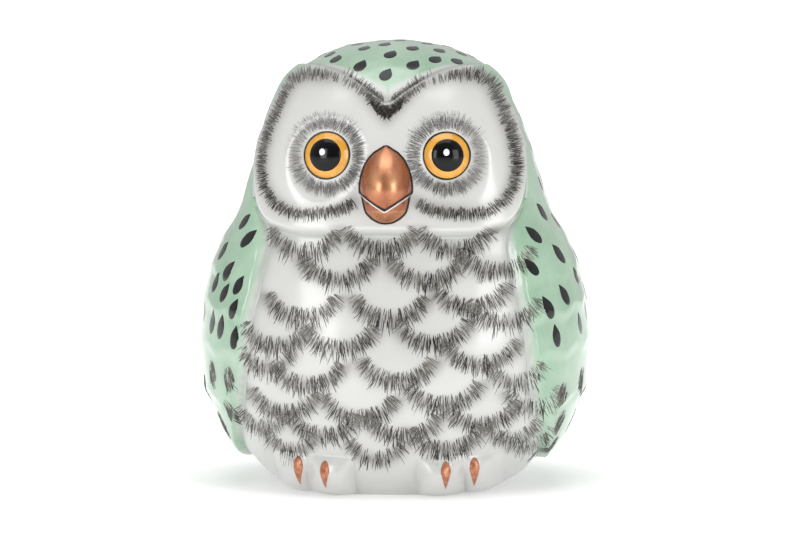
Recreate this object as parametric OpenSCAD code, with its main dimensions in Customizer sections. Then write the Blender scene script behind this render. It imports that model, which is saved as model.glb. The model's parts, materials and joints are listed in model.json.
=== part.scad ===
// Owl coin bank: a hollow slip-cast ceramic figure with relief parts luted on,
// a coin slot in the nape and a soft stopper in the base. Millimetres, +Z up.
// The front faces -Y, and the origin is the middle of the footprint's box.

/* [Body] */
// Height of the figure from the foot ring to the crown
total_h = 170; // [165:1:176]
// Width of the body without its wings
body_w = 142; // [138:1:146]
// Depth of the body from chest to back, without relief parts
body_d = 128; // [125:1:131]
// Thickness of the cast wall
wall = 4; // [3.5:0.5:5]

/* [Relief] */
// How far the wings stand out of the body
wing_t = 3.6; // [3:0.1:4]
// How far the hood and the back feathers stand out of the body
mantle_t = 2; // [1.6:0.1:2.4]
// How far the tail stands out of the body
tail_t = 4; // [3.4:0.1:4.4]
// How far the face disc stands out of the head
face_t = 4.2; // [4:0.1:4.4]

/* [Eyes and beak] */
// Distance of each eye from the middle of the face
eye_x = 22.4; // [22:0.2:23]
// Height of the eyes above the table
eye_z = 128; // [127.5:0.5:128.5]
// Radius of the eye where it leaves the face
eye_r = 8.7; // [8.4:0.1:9]
// Radius of the pupil
pupil_r = 6.1; // [5.8:0.1:6.4]
// Width of the beak
beak_w = 21; // [20:0.2:21.6]

/* [Coin slot and stopper] */
// Length of the coin slot
slot_l = 36; // [32:1:40]
// Height of the coin slot
slot_h = 5; // [4.6:0.1:6]
// Radius of the hole in the base
bore_r = 17; // [15:0.5:18]
// Radial clearance of the stopper's shank in the hole
stopper_gap = 0.05; // [0.02:0.01:0.1]

/* [Hidden] */
$fn = 64;

white = [0.86, 0.85, 0.83];
mint = [0.68, 0.81, 0.72];
amber = [0.86, 0.60, 0.15];
black = [0.03, 0.03, 0.04];
copper = [0.76, 0.44, 0.26];
rubber = [0.10, 0.10, 0.11];

// ---- the body's surface ---------------------------------------------------------------
// Each station of the figure, from the base up: height, half width, front reach and back
// reach, as shares of body_h, body_w / 2 and body_d / 2, and how boxy the front is
// (2 is an ellipse).
stations = [
    [0.000, 0.575, 0.700, 0.690, 2.2], [0.024, 0.685, 0.780, 0.800, 2.2],
    [0.059, 0.765, 0.860, 0.890, 2.2], [0.118, 0.880, 0.940, 0.965, 2.2],
    [0.200, 0.962, 0.990, 1.000, 2.2], [0.294, 1.000, 1.000, 1.000, 2.2],
    [0.392, 0.992, 0.970, 0.970, 2.3], [0.477, 0.957, 0.905, 0.915, 2.4],
    [0.553, 0.890, 0.820, 0.860, 2.6], [0.631, 0.808, 0.780, 0.813, 2.9],
    [0.714, 0.747, 0.773, 0.773, 3.0], [0.792, 0.686, 0.758, 0.720, 3.0],
    [0.863, 0.613, 0.690, 0.640, 2.9], [0.916, 0.538, 0.595, 0.550, 2.7],
    [0.958, 0.420, 0.465, 0.440, 2.4], [0.987, 0.255, 0.280, 0.260, 2.2],
    [1.000, 0.000, 0.000, 0.000, 2.2]
];
body_h = total_h - mantle_t;
top = len(stations) - 1;
back_squareness = 2.25;
columns = 48;
rings = 30;
half_w = body_w / 2;
half_d = body_d / 2;

// One station past either end, so that the curve closes smoothly over the crown.
function station(i) =
    i < 0 ? 2 * stations[0] - stations[1] :
    i > top ? [stations[top - 1][0], for (j = [1:3]) -stations[top - 1][j], stations[top][4]] :
    stations[i];

function catmull_rom(a, b, c, d, t) =
    0.5 * (2 * b + (c - a) * t + (2 * a - 5 * b + 4 * c - d) * t * t
        + (3 * b - a - 3 * c + d) * t * t * t);

// The section at u, where whole numbers are the stations:
// [z, half width, front reach, back reach, boxiness of the front].
function section(u) =
    let (i = min(floor(u), top - 1),
        s = catmull_rom(station(i - 1), station(i), station(i + 1), station(i + 2), u - i))
    [s[0] * body_h, s[1] * half_w, s[2] * half_d, s[3] * half_d, s[4]];

// A point of the body's surface. The angle is 0 at the front and grows towards +X.
function body_point(u, angle) =
    let (s = section(u),
        front = cos(angle) > 0,
        reach = front ? s[2] : s[3],
        n = front ? s[4] : back_squareness,
        r = pow(pow(abs(sin(angle)) / s[1], n) + pow(abs(cos(angle)) / reach, n), -1 / n))
    [r * sin(angle), -r * cos(angle), s[0]];

// The station value u at height z, by halving.
function u_at(z, low = 0, high = top, steps = 24) =
    steps == 0 ? (low + high) / 2 :
    let (mid = (low + high) / 2)
    section(mid)[0] < z ? u_at(z, mid, high, steps - 1) : u_at(z, low, mid, steps - 1);

// How far back the front of the body is at x and z.
function front_y(x, z) =
    let (s = section(u_at(z)))
    -s[2] * pow(1 - pow(min(abs(x) / s[1], 1), s[4]), 1 / s[4]);

function unit(v) = v / norm(v);

// The point of the surface moved out along its normal.
function skin(u, angle, grow) =
    let (p = body_point(u, angle),
        across = body_point(u, angle + 1) - body_point(u, angle - 1),
        up = body_point(u + 0.02, angle) - body_point(u - 0.02, angle))
    p + grow * unit(cross(across, up));

// A closed form of the body, grown outwards by grow, from section u0 up to the crown.
// Its lowest ring is flat at floor_z.
module body_form(grow, u0 = 0, floor_z = 0, cols = columns, rows = rings) {
    u_last = top - 0.2;
    ring_u = [for (i = [0:rows - 1]) u0 + (u_last - u0) * i / (rows - 1)];
    points = [
        for (i = [0:rows - 1]) for (k = [0:cols - 1])
            let (p = skin(ring_u[i], 360 * k / cols, grow)) i == 0 ? [p[0], p[1], floor_z] : p,
        [0, 0, floor_z],
        [0, 0, body_h + grow]
    ];
    low = rows * cols;
    high = low + 1;
    faces = [
        for (i = [0:rows - 2]) for (k = [0:cols - 1])
            let (a = i * cols + k, b = i * cols + (k + 1) % cols)
            each [[a, a + cols, b + cols], [a, b + cols, b]],
        for (k = [0:cols - 1]) [low, k, (k + 1) % cols],
        for (k = [0:cols - 1]) [high, (rows - 1) * cols + (k + 1) % cols, (rows - 1) * cols + k]
    ];
    polyhedron(points = points, faces = faces, convexity = 6);
}

// ---- outlines that trim the relief parts ----------------------------------------------
// Side view of a wing: [y, z], from the shoulder down its front edge, along the feather
// tips and back up to the shoulder.
wing_outline = [
    [-41, 102], [-45, 90], [-48, 74], [-46, 46], [-38, 28], [-22, 15], [0, 9], [16, 10],
    [19, 15], [24, 13], [34, 18], [35, 24], [40, 23], [47, 31], [46, 38], [51, 39],
    [55, 50], [55, 66], [49, 86], [34, 101], [10, 109], [-16, 109]
];
// Right half of the face disc in front view: [x, z], from the notch of the brow.
face_outline = [
    [0, 147], [8, 152], [18, 158], [29, 161], [38, 160], [44, 153], [49, 140], [51.5, 126],
    [50.5, 113], [46, 105], [36, 101], [22, 100.4], [10, 101], [0, 101]
];
// Right half of the tail in back view: [x, z], from the top down.
tail_outline = [
    [0, 50], [10, 46], [15, 32], [20, 14], [17, 8], [12, 7], [9.5, 9.5], [6, 5.5], [0, 4.5]
];

// Both halves of an outline that is given for +X only.
function mirrored(half) =
    concat(half, [for (i = [len(half) - 1:-1:0]) if (half[i][0] > 0) [-half[i][0], half[i][1]]]);

fit_gap = 0.25;          // between neighbouring relief parts
far = 120;               // longer than half of any side of the figure

// An outline stretched about its middle so that it grows by about grow all round.
module outline(points, grow = 0) {
    xs = [for (p = points) p[0]];
    ys = [for (p = points) p[1]];
    middle = [(min(xs) + max(xs)) / 2, (min(ys) + max(ys)) / 2];
    size = [max(xs) - min(xs), max(ys) - min(ys)];
    polygon([for (p = points) [
        middle[0] + (p[0] - middle[0]) * (1 + 2 * grow / size[0]),
        middle[1] + (p[1] - middle[1]) * (1 + 2 * grow / size[1])
    ]]);
}

// side is 1 for the wing on +X, which is the owl's left.
module wing_prism(side, grow = 0)
    rotate([90, 0, 90])
        translate([0, 0, side > 0 ? 18 : -far])
            linear_extrude(far - 18) outline(wing_outline, grow);

module face_prism(grow = 0)
    rotate([90, 0, 0])
        translate([0, 0, 12 - grow])
            linear_extrude(far) outline(mirrored(face_outline), grow);

module tail_prism(grow = 0)
    rotate([90, 0, 180])
        translate([0, 0, 20])
            linear_extrude(far) outline(mirrored(tail_outline), grow);

// Everything between two heights.
module slab(z0, z1)
    translate([-far, -far, z0]) cube([2 * far, 2 * far, z1 - z0]);

// ---- ceramic body ---------------------------------------------------------------------
recess_r = 31;           // hollow under the base, inside the foot ring
recess_h = 4.5;
floor_t = 5;
slot_z = 118;            // middle of the coin slot, in the nape

module slot_cut(grow = 0)
    translate([-slot_l / 2 - grow, 20, slot_z - slot_h / 2 - grow])
        cube([slot_l + 2 * grow, 60, slot_h + 2 * grow]);

module body_shell() color(white)
    difference() {
        body_form(0);
        body_form(-wall, 1.75, recess_h + floor_t, 36, 20);
        translate([0, 0, -1]) cylinder(r = recess_r, h = recess_h + 1);
        translate([0, 0, -1]) cylinder(r = bore_r, h = recess_h + floor_t + 3);
        slot_cut();
    }

// ---- feather relief -------------------------------------------------------------------
neck_z = 104;            // where the hood ends and the back begins
back_low_z = 12;

module wing(side) color(mint)
    difference() {
        intersection() {
            body_form(wing_t);
            wing_prism(side);
        }
        body_form(0);
    }

module hood() color(mint)
    difference() {
        body_form(mantle_t);
        slab(-far, neck_z);
        face_prism(fit_gap);
        wing_prism(1, fit_gap);
        wing_prism(-1, fit_gap);
        body_form(0);
        slot_cut(2);
    }

module back_mantle() color(mint)
    difference() {
        body_form(mantle_t);
        slab(-far, back_low_z);
        slab(neck_z - fit_gap, 2 * far);
        translate([-far, -2 * far, -far]) cube([2 * far, 2 * far, 3 * far]);
        wing_prism(1, fit_gap);
        wing_prism(-1, fit_gap);
        tail_prism(fit_gap);
        body_form(0);
    }

module tail() color(mint)
    difference() {
        intersection() {
            body_form(tail_t);
            tail_prism();
        }
        body_form(0);
    }

// ---- face -----------------------------------------------------------------------------
eye_yaw = 13;            // each eye looks this much outwards
eye_pitch = 6;           // and this much upwards
seat_t = 1;              // how deep the eye sits in its pocket
ball_r = 12.5;           // radius of the eyeball's curve
dish_r = 60;             // radius of the hollow around each eye
eye_y = front_y(eye_x - eye_r * cos(eye_yaw), eye_z)
    + eye_r * sin(eye_yaw) - seat_t * cos(eye_yaw) - 0.7;

// Turns what it is given so that its +Z is the way an eye looks, from the eye's rim.
module at_eye(side)
    translate([side * eye_x, eye_y, eye_z]) rotate([90 - eye_pitch, 0, side * eye_yaw]) children();

// Height of the eyeball above its rim at a distance r from its axis.
function ball_at(r) = sqrt(ball_r * ball_r - r * r) - sqrt(ball_r * ball_r - eye_r * eye_r);

module iris(side) color(amber)
    at_eye(side) rotate_extrude()
        polygon([
            [pupil_r, -seat_t], [eye_r, -seat_t],
            for (i = [0:8]) let (r = eye_r + (pupil_r - eye_r) * i / 8) [r, ball_at(r)]
        ]);

module pupil(side) color(black)
    at_eye(side) rotate_extrude()
        polygon([
            [0, -seat_t], [pupil_r, -seat_t], [pupil_r, ball_at(pupil_r)],
            for (i = [1:12]) let (r = pupil_r * (1 - i / 12)) [r, ball_at(r) + 0.35 * (1 - pow(1 - i / 12, 4))]
        ]);

module face_disc() color(white)
    difference() {
        intersection() {
            body_form(face_t);
            face_prism();
        }
        body_form(0);
        for (side = [-1, 1]) at_eye(side) {
            translate([0, 0, sqrt(dish_r * dish_r - eye_r * eye_r)]) sphere(r = dish_r);
            translate([0, 0, -seat_t]) cylinder(r = eye_r, h = 10);
        }
    }

// The beak from its lower end up: height above the table, half width and reach in front
// of the plane behind the beak.
beak_sections = [
    [102.6, 3.0, 8.0], [103.4, 5.6, 10.4], [104.9, 7.6, 12.6], [107.0, 9.2, 14.8],
    [110.0, 9.8, 16.6], [113.5, 10.3, 17.8], [116.5, 10.5, 18.0], [120.0, 10.1, 17.0],
    [123.6, 9.2, 14.8], [126.8, 7.9, 12.2], [129.2, 6.0, 10.0], [130.8, 3.4, 8.3],
    [131.6, 1.4, 7.6]
];
beak_back = -46;

module beak_form(shrink) {
    rows = len(beak_sections);
    cols = 15;
    points = [
        for (s = beak_sections) for (k = [0:cols - 1])
            let (turn = -90 + 180 * k / (cols - 1))
            [
                (s[1] * beak_w / 21 - shrink) * sin(turn),
                beak_back - (s[2] - shrink) * pow(max(cos(turn), 0), 0.85),
                s[0]
            ]
    ];
    faces = [
        for (i = [0:rows - 2]) for (k = [0:cols - 1])
            let (a = i * cols + k, b = i * cols + (k + 1) % cols)
            each [[a, a + cols, b + cols], [a, b + cols, b]],
        [for (k = [0:cols - 1]) k],
        [for (k = [cols - 1:-1:0]) (rows - 1) * cols + k]
    ];
    polyhedron(points = points, faces = faces, convexity = 4);
}

// Front view of the part of the face above the lip of the upper beak.
module above_lip(drop)
    rotate([90, 0, 0])
        linear_extrude(far)
            polygon([
                [0, 108.2 - drop], [beak_w / 2, 114.8 - drop], [20, 117.5 - drop], [20, 140],
                [-20, 140], [-20, 117.5 - drop], [-beak_w / 2, 114.8 - drop]
            ]);

module upper_beak() color(copper)
    difference() {
        intersection() {
            beak_form(0);
            above_lip(0);
        }
        body_form(face_t);
    }

module lower_beak() color(copper)
    difference() {
        beak_form(0.9);
        above_lip(0.1);
        body_form(face_t);
    }

// ---- feet -----------------------------------------------------------------------------
foot_x = 29;             // the groove between the two toes of a foot
toe_x = 7.3;             // each toe's offset from it
foot_lift = 0.4;         // keeps the weight on the foot ring

module toe(x)
    hull() {
        translate([x, -52.2, 5.6]) sphere(r = 7.4, $fn = 24);
        translate([x, -49, 8.2]) sphere(r = 7.2, $fn = 24);
        translate([x * 0.98, -43, 4]) sphere(r = 8.4, $fn = 24);
    }

module foot(side) color(white)
    difference() {
        union() {
            toe(side * (foot_x - toe_x));
            toe(side * (foot_x + toe_x));
        }
        slab(-far, foot_lift);
        body_form(0);
    }

// One claw: a drop with its point down, bent over the front of the toe.
claw_inner = [23.2, 2.4];        // distance from the middle, and height of the point
claw_outer = [33.7, 3.6];

module claw(x, low)
    hull() {
        translate([x, -56.2, low + 8.2]) sphere(r = 2.0, $fn = 16);
        translate([x, -58.4, low + 5.2]) sphere(r = 1.6, $fn = 16);
        translate([x, -59.2, low + 0.8]) sphere(r = 0.7, $fn = 16);
    }

module claws() color(copper)
    for (side = [-1, 1])
        difference() {
            union() {
                claw(side * claw_inner[0], claw_inner[1]);
                claw(side * claw_outer[0], claw_outer[1]);
            }
            toe(side * (foot_x - toe_x));
            toe(side * (foot_x + toe_x));
        }

// ---- stopper --------------------------------------------------------------------------
flange_r = bore_r + 4.5;
flange_t = 2.2;
shank_top = recess_h + floor_t + 3;
shank_r = bore_r - stopper_gap;
flange_top = recess_h - 0.1;

// A soft cup with a flange and a pull tab.
module stopper() color(rubber)
    union() {
        rotate_extrude()
            polygon([
                [0, flange_top - flange_t], [flange_r - 0.8, flange_top - flange_t],
                [flange_r, flange_top - flange_t + 0.8], [flange_r, flange_top],
                [shank_r, flange_top], [shank_r, shank_top - 1.4], [shank_r - 1, shank_top],
                [shank_r - 2.6, shank_top], [shank_r - 2.6, flange_top + 0.6], [0, flange_top + 0.6]
            ]);
        translate([-6, -1, 0.8]) cube([12, 2, flange_top - flange_t]);
    }

// The tail reaches further back than the chest does forwards, so everything moves
// forwards until the figure's box is centred on the origin.
module centred()
    translate([0, -tail_t / 2 + 0.05, 0]) children();

centred() body_shell();
centred() hood();
centred() back_mantle();
centred() tail();
centred() wing(1);  // left_wing
centred() wing(-1);  // right_wing
centred() face_disc();
centred() iris(1);  // left_iris
centred() iris(-1);  // right_iris
centred() pupil(1);  // left_pupil
centred() pupil(-1);  // right_pupil
centred() upper_beak();
centred() lower_beak();
centred() foot(1);  // left_foot
centred() foot(-1);  // right_foot
centred() claws();
centred() stopper();
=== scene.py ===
"""The looks of an owl coin bank: a pearly glazed ceramic figure with painted feathers.

The ceramic's surface is one height field over the body, so that the relief sections meet without a
seam. Each section is cut out of it as a closed piece of its own. The painted strokes and spots are
thin closed pieces of glaze colour that lie on that surface. Lengths are in millimetres until a mesh
is made, and the owl looks along -Y.
"""

import json
import math

import bpy
import numpy as np
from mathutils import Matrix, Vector
from mathutils.bvhtree import BVHTree


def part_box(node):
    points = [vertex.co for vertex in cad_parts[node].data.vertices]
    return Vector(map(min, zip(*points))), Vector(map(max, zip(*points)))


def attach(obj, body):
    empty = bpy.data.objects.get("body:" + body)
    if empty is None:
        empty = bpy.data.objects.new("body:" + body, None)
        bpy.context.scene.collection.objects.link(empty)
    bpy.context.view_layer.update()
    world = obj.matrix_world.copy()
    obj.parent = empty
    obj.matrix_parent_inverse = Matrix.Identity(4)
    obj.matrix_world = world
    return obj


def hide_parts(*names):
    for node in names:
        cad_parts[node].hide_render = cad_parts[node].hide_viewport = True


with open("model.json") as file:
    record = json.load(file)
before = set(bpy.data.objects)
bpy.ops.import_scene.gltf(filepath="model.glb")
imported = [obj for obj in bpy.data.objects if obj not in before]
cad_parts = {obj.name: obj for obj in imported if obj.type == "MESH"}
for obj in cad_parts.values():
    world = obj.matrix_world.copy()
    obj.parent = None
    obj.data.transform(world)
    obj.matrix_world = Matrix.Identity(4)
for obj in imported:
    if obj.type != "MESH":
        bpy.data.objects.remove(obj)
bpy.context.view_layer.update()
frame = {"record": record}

MM = 0.001
rng = np.random.default_rng(7)


def cad_box(node):
    """Lowest and highest corner of a CAD node, in millimetres."""
    low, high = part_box(node)
    return np.array(low) / MM, np.array(high) / MM


# ---- the body's surface ------------------------------------------------------
# Stations from the base up: height, half width, front reach and back reach as shares of the
# body's own, and how boxy the front is (2 is an ellipse).
STATIONS = np.array([
    [0.000, 0.575, 0.700, 0.690, 2.2], [0.024, 0.685, 0.780, 0.800, 2.2],
    [0.059, 0.765, 0.860, 0.890, 2.2], [0.118, 0.880, 0.940, 0.965, 2.2],
    [0.200, 0.962, 0.990, 1.000, 2.2], [0.294, 1.000, 1.000, 1.000, 2.2],
    [0.392, 0.992, 0.970, 0.970, 2.3], [0.477, 0.957, 0.905, 0.915, 2.4],
    [0.553, 0.890, 0.820, 0.860, 2.6], [0.631, 0.808, 0.780, 0.813, 2.9],
    [0.714, 0.747, 0.773, 0.773, 3.0], [0.792, 0.686, 0.758, 0.720, 3.0],
    [0.863, 0.613, 0.690, 0.640, 2.9], [0.916, 0.538, 0.595, 0.550, 2.7],
    [0.958, 0.420, 0.465, 0.440, 2.4], [0.987, 0.255, 0.280, 0.260, 2.2],
    [1.000, 0.000, 0.000, 0.000, 2.2],
])
BACK_SQUARENESS = 2.25
TOP = len(STATIONS) - 1
COLS = 480               # round the figure
ROWS = 270               # from the base to the crown


def with_ends(stations):
    """The stations with one more past either end, so that the curve closes over the crown."""
    before = 2 * stations[0] - stations[1]
    past = stations[-2] * [1, -1, -1, -1, 1]
    return np.vstack([before, stations, past])


def curve(a, b, c, d, t):
    """A Catmull-Rom curve from b to c, with a before them and d past them."""
    return 0.5 * (2 * b + (c - a) * t + (2 * a - 5 * b + 4 * c - d) * t**2
                  + (3 * b - a - 3 * c + d) * t**3)


def section(u, stations):
    """The stations' values at u by a Catmull-Rom curve; whole numbers are the stations."""
    i = np.clip(np.floor(u).astype(int), 0, TOP - 1)
    t = (u - i)[..., None]
    return curve(*(stations[i + k] for k in range(4)), t)


shell_low, shell_high = cad_box("body_shell")
shares = section(np.linspace(0, TOP, 800), with_ends(STATIONS)).max(0)
BODY_H = shell_high[2]
HALF_W = (shell_high[0] - shell_low[0]) / 2 / shares[1]
HALF_D = (shell_high[1] - shell_low[1]) / (shares[2] + shares[3])
MIDDLE_Y = shell_low[1] + shares[2] * HALF_D
SIZED = with_ends(STATIONS) * [BODY_H, HALF_W, HALF_D, HALF_D, 1]


def body_point(u, turn):
    """The body's surface. The turn is 0 at the front and grows towards +X."""
    s = section(u, SIZED)
    across, along = np.sin(turn), np.cos(turn)
    front = along > 0
    n = np.where(front, s[..., 4], BACK_SQUARENESS)
    reach = np.where(front, s[..., 2], s[..., 3])
    r = ((np.abs(across) / s[..., 1]) ** n + (np.abs(along) / reach) ** n) ** (-1 / n)
    return np.stack([r * across, -r * along, s[..., 0] + 0 * r], -1)


def unit(v):
    return v / np.maximum(np.linalg.norm(v, axis=-1, keepdims=True), 1e-12)


def u_at(z):
    """The station value at a height."""
    u = np.linspace(0, TOP, 4000)
    return np.interp(z, section(u, SIZED)[:, 0], u)


def front_y(x, z):
    """How far back the front of the plain body is at x and z."""
    s = section(np.array([u_at(z)]), SIZED)[0]
    return -s[2] * (1 - min(abs(x) / s[1], 1) ** s[4]) ** (1 / s[4])


def even_rows(count):
    """Station values that are evenly spaced along the figure's side."""
    u = np.linspace(0, TOP - 0.03, 4000)
    s = section(u, SIZED)
    length = np.concatenate([[0], np.cumsum(np.hypot(np.diff(s[:, 0]), np.diff(s[:, 1])))])
    return np.interp(np.linspace(0, length[-1], count), length, u)


row_u = even_rows(ROWS)
col_turn = np.arange(COLS) * 2 * math.pi / COLS
U, TURN = np.meshgrid(row_u, col_turn, indexing="ij")
BASE = body_point(U, TURN)
BASE_X, BASE_Y, BASE_Z = np.moveaxis(BASE, -1, 0)
OUT = unit(np.cross(body_point(U, TURN + 0.01) - body_point(U, TURN - 0.01),
                    body_point(np.minimum(U + 0.01, TOP - 0.01), TURN) - body_point(U - 0.01, TURN)))


# ---- fields over the surface -------------------------------------------------
def ramp(t):
    """0 to 1 with soft ends as t goes from 0 to 1."""
    t = np.clip(t, 0, 1)
    return t * t * (3 - 2 * t)


def soft_max(a, b, k):
    """The larger of two heights, rounded where they cross; exactly 0 where both are 0."""
    k = np.minimum(k, 2 * np.maximum(np.minimum(a, b), 0)) + 1e-9
    h = np.maximum(k - np.abs(a - b), 0) / k
    return np.maximum(a, b) + h * h * k / 4


def soft_min(a, b, k):
    h = np.maximum(k - np.abs(a - b), 0) / k
    return np.minimum(a, b) - h * h * k / 4


def smooth_loop(points):
    """A closed Catmull-Rom curve through the points, with six steps from each to the next."""
    p = np.array(points, float)
    t = (np.arange(6) / 6)[None, :, None]
    return curve(*(np.roll(p, k, 0)[:, None, :] for k in (1, 0, -1, -2)), t).reshape(-1, 2)


def mirrored(half):
    """Both halves of an outline that is given for +X only."""
    return half + [[-x, z] for x, z in reversed(half) if x > 0]


def line_distance(px, py, points):
    """Distance in the plane to an open line."""
    best = np.full(px.shape, np.inf)
    for (ax, ay), (bx, by) in zip(points, points[1:]):
        ex, ey = bx - ax, by - ay
        t = np.clip(((px - ax) * ex + (py - ay) * ey) / (ex * ex + ey * ey), 0, 1)
        best = np.minimum(best, (px - ax - t * ex) ** 2 + (py - ay - t * ey) ** 2)
    return np.sqrt(best)


def loop_distance(px, py, loop):
    """Distance in the plane to a closed loop, positive inside it."""
    closed = [*loop, loop[0]]
    inside = np.zeros(px.shape, bool)
    for (ax, ay), (bx, by) in zip(closed, closed[1:]):
        slope = (bx - ax) / (by - ay if abs(by - ay) > 1e-9 else 1e-9)
        inside ^= ((ay > py) != (by > py)) & (px < ax + (py - ay) * slope)
    return line_distance(px, py, closed) * np.where(inside, 1, -1)


def along_surface(field):
    """A plane distance turned into a distance over the surface, near where it is 0."""
    f_t = (np.roll(field, -1, 1) - np.roll(field, 1, 1)) / 2
    f_u = np.gradient(field, axis=0)
    p_t = (np.roll(BASE, -1, 1) - np.roll(BASE, 1, 1)) / 2
    p_u = np.gradient(BASE, axis=0)
    e, f, g = (p_t * p_t).sum(-1), (p_t * p_u).sum(-1), (p_u * p_u).sum(-1)
    steep = (f_t**2 * g - 2 * f_t * f_u * f + f_u**2 * e) / np.maximum(e * g - f * f, 1e-9)
    return field / np.clip(np.sqrt(np.maximum(steep, 0)), 0.3, 1)


# ---- relief ------------------------------------------------------------------
WING_T, MANTLE_T, TAIL_T, FACE_T = 3.6, 2.0, 4.0, 4.2
WING_STEP, MANTLE_STEP, TAIL_STEP, FACE_STEP = 3.2, 3.5, 3.0, 3.6   # widths of their edges

# Side view of a wing, [y, z]; right halves of the face disc and the tail, [x, z].
WING_LOOP = smooth_loop([
    [-41, 102], [-45, 90], [-48, 74], [-46, 46], [-38, 28], [-22, 15], [0, 9], [16, 10],
    [26, 13], [36, 19], [46, 30], [52, 42], [55, 54], [55, 68], [49, 86], [34, 101], [10, 109],
    [-16, 109.5], [-34, 108.5],
])
FACE_HALF = [
    [0, 147], [8, 152], [18, 158], [29, 161], [38, 160], [44, 153], [49, 140], [51.5, 126],
    [50.5, 113], [46, 105], [36, 101.5], [22, 101], [10, 101.4], [0, 101.5],
]
FACE_LOOP = smooth_loop(mirrored(FACE_HALF))
TAIL_LOOP = smooth_loop(mirrored([
    [0, 50], [10, 46], [15, 32], [20, 14], [17, 8], [12, 7], [9.5, 9.5], [6, 5.5], [0, 4.5],
]))

raised = BASE + FACE_T * OUT
face_back = np.interp(raised[..., 2], [100, 138, 153], [-28, -26, -13])
in_face = along_surface(np.minimum(loop_distance(raised[..., 0], raised[..., 2], FACE_LOOP),
                                   face_back - raised[..., 1]))
raised = BASE + WING_T * OUT
side_view = loop_distance(raised[..., 1], raised[..., 2], WING_LOOP)
in_wing = {side: along_surface(np.minimum(side_view, side * raised[..., 0] - 18)) for side in (1, -1)}
raised = BASE + TAIL_T * OUT
in_tail = along_surface(np.minimum(loop_distance(raised[..., 0], raised[..., 2], TAIL_LOOP),
                                   raised[..., 1] - 20))
NECK_Z, BACK_LOW_Z = 103, 12
turn_back = np.abs(np.where(TURN > math.pi, TURN - 2 * math.pi, TURN))   # 0 in front to pi behind
in_mantle = np.minimum(BASE_Z - BACK_LOW_Z,
                       np.maximum(BASE_Z - NECK_Z, (turn_back - math.radians(95)) * 65))


def feather_rows(p):
    """Rows of overlapping feathers on a wing: each row thickens softly towards its tips."""
    height = np.zeros(p.shape[:-1])
    for z, size in ((96, 0.45), (85, 0.5), (72, 0.6), (57, 0.65), (39, 1.2)):
        lobes = 1.0 * np.cos((p[..., 1] + z) * math.pi / 8)
        above = p[..., 2] - z - lobes + 0.0016 * (p[..., 1] - 5) ** 2
        height += size * np.exp(-np.maximum(above, 0) / 6) * ramp(above / 5 + 1)
    return height


EYE_X, EYE_Z, EYE_R, BALL_R, DISH_R = 22.4, 128.0, 8.7, 12.5, 60.0
EYE_YAW, EYE_PITCH = math.radians(13), math.radians(6)
SEAT_T = 1.0
EYE_Y = (front_y(EYE_X - EYE_R * math.cos(EYE_YAW), EYE_Z) + EYE_R * math.sin(EYE_YAW)
         - SEAT_T * math.cos(EYE_YAW) - 0.7)


def eye_frame(side):
    """Middle of the eye's rim, the way it looks, and its own right and up."""
    look = Vector((side * math.sin(EYE_YAW) * math.cos(EYE_PITCH),
                   -math.cos(EYE_YAW) * math.cos(EYE_PITCH), math.sin(EYE_PITCH)))
    right = Vector((0, 0, 1)).cross(look).normalized()
    up = look.cross(right)
    return [np.array(v) for v in (Vector((side * EYE_X, EYE_Y, EYE_Z)), look, right, up)]


def dish_height(side):
    """Height over the body at which the hollow around an eye lies; large where it doesn't reach."""
    middle, look, _, _ = eye_frame(side)
    away = BASE - (middle + look * math.sqrt(DISH_R**2 - EYE_R**2))
    b = (away * OUT).sum(-1)
    c = (away * away).sum(-1) - DISH_R**2
    root = b * b - c
    return np.where((root > 0) & (BASE_Y < 0), -b - np.sqrt(np.maximum(root, 0)), 50.0)


def from_eye(points, side):
    """Distance of points from an eye's axis."""
    middle, look, _, _ = eye_frame(side)
    away = points - middle
    along = (away * look).sum(-1)
    near = np.sqrt(np.maximum((away * away).sum(-1) - along**2, 0))
    return np.where(along > -15, near, 99.0)


FOOT_LIFT = 0.4
TOE_INNER, TOE_OUTER = (21.2, 9.4), (35.6, 7.6)   # middles and half widths


def foot_push(p):
    """How far forwards the feet stand out of the lower body."""
    x, z = np.abs(p[..., 0]), p[..., 2]
    lift = np.interp(z, [0, 1.2, 3, 5.5, 8, 10.5, 12.5, 14.2, 15.4, 16.2],
                     [6.6, 8.4, 9.4, 9.6, 8.6, 6.6, 4.6, 2.6, 0.8, 0])
    toes = [np.maximum(1 - ((x - middle) / half) ** 2, 0) ** 0.75
            for middle, half in (TOE_INNER, TOE_OUTER)]
    spread = soft_max(toes[0], toes[1] * 0.93, 0.12)
    return np.where(p[..., 1] < -10, lift * spread, 0)


def lumps(p):
    """Faint unevenness of a hand-made surface."""
    x, y, z = p[..., 0], p[..., 1], p[..., 2]
    return (np.sin(x * 0.31 + 1.3 * np.sin(y * 0.17)) * np.sin(y * 0.27 + 0.8)
            * np.sin(z * 0.23 + 0.4 * np.sin(x * 0.2)))


openings = {opening["name"]: opening for opening in frame["record"]["physics"]["openings"]}
slot_low, slot_high = [np.array(v) / MM for v in openings["coin_slot"]["box_m"]]
SLOT_HALF = np.array([slot_high[0] + 0.4, (slot_high[2] - slot_low[2]) / 2 + 0.15])
SLOT_Z = (slot_high[2] + slot_low[2]) / 2
SLOT_ROUND = 1.4


def in_slot(p):
    """Distance inside the coin slot's rounded outline, seen from the back."""
    q = np.abs(np.stack([p[..., 0], p[..., 2] - SLOT_Z], -1)) - (SLOT_HALF - SLOT_ROUND)
    gap = np.linalg.norm(np.maximum(q, 0), axis=-1) + np.minimum(q.max(-1), 0)
    return np.where(p[..., 1] > 0, SLOT_ROUND - gap, -99.0)


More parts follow.
